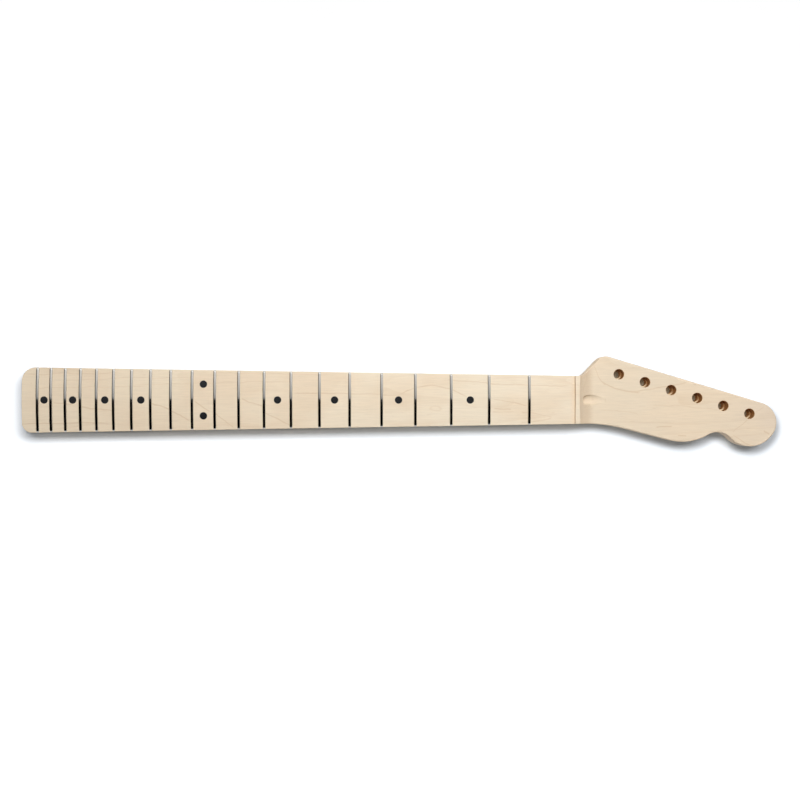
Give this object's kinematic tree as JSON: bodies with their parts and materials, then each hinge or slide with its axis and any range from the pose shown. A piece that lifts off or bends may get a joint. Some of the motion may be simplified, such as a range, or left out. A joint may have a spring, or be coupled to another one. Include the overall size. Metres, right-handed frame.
{
  "type": "electric guitar neck",
  "caption": "One-piece maple bolt-on guitar neck with a six-in-line head, empty nut slot, frets, black dots, stepped tuner bores and a truss rod turned from the head.",
  "frame": {"origin": "centre of the heel's flat seat, on the centreline, where the neck meets a guitar's body", "axes": "+X from the heel to the head along the strings, +Y to the bass side, +Z out of the fretboard"},
  "size_m": [0.647, 0.0778, 0.0265],
  "materials": {
    "maple": "pale hard maple, sanded smooth, with a thin satin sealer",
    "walnut": "dark walnut, sanded flush",
    "nickel_silver": "polished nickel silver fret wire",
    "black_plastic": "black plastic, sanded flush and buffed",
    "steel": "drawn steel, lightly oiled",
    "brass": "sawn brass"
  },
  "bodies": {
    "neck": {"neck": "maple", "walnut_fillet": "walnut", "fret_01": "nickel_silver", "fret_02": "nickel_silver", "fret_03": "nickel_silver", "fret_04": "nickel_silver", "fret_05": "nickel_silver", "fret_06": "nickel_silver", "fret_07": "nickel_silver", "fret_08": "nickel_silver", "fret_09": "nickel_silver", "fret_10": "nickel_silver", "fret_11": "nickel_silver", "fret_12": "nickel_silver", "fret_13": "nickel_silver", "fret_14": "nickel_silver", "fret_15": "nickel_silver", "fret_16": "nickel_silver", "fret_17": "nickel_silver", "fret_18": "nickel_silver", "fret_19": "nickel_silver", "fret_20": "nickel_silver", "fret_21": "nickel_silver", "dot_03": "black_plastic", "dot_05": "black_plastic", "dot_07": "black_plastic", "dot_09": "black_plastic", "dot_12_bass": "black_plastic", "dot_12_treble": "black_plastic", "dot_15": "black_plastic", "dot_17": "black_plastic", "dot_19": "black_plastic", "dot_21": "black_plastic", "side_dot_03": "black_plastic", "side_dot_05": "black_plastic", "side_dot_07": "black_plastic", "side_dot_09": "black_plastic", "side_dot_12_heel": "black_plastic", "side_dot_12_head": "black_plastic", "side_dot_15": "black_plastic", "side_dot_17": "black_plastic", "side_dot_19": "black_plastic", "side_dot_21": "black_plastic", "truss_bar": "steel", "truss_block_head": "brass", "truss_block_heel": "brass"},
    "truss_adjuster": {"truss_rod": "steel", "truss_rod_nut": "steel"}
  },
  "joints": [
    {"name": "truss_rod_turn", "type": "hinge", "parent": "neck", "child": "truss_adjuster", "pos_m": [0.41544, 0, 0.0154], "axis": [1, 0, 0], "range_deg": [-450, 450]}
  ]
}
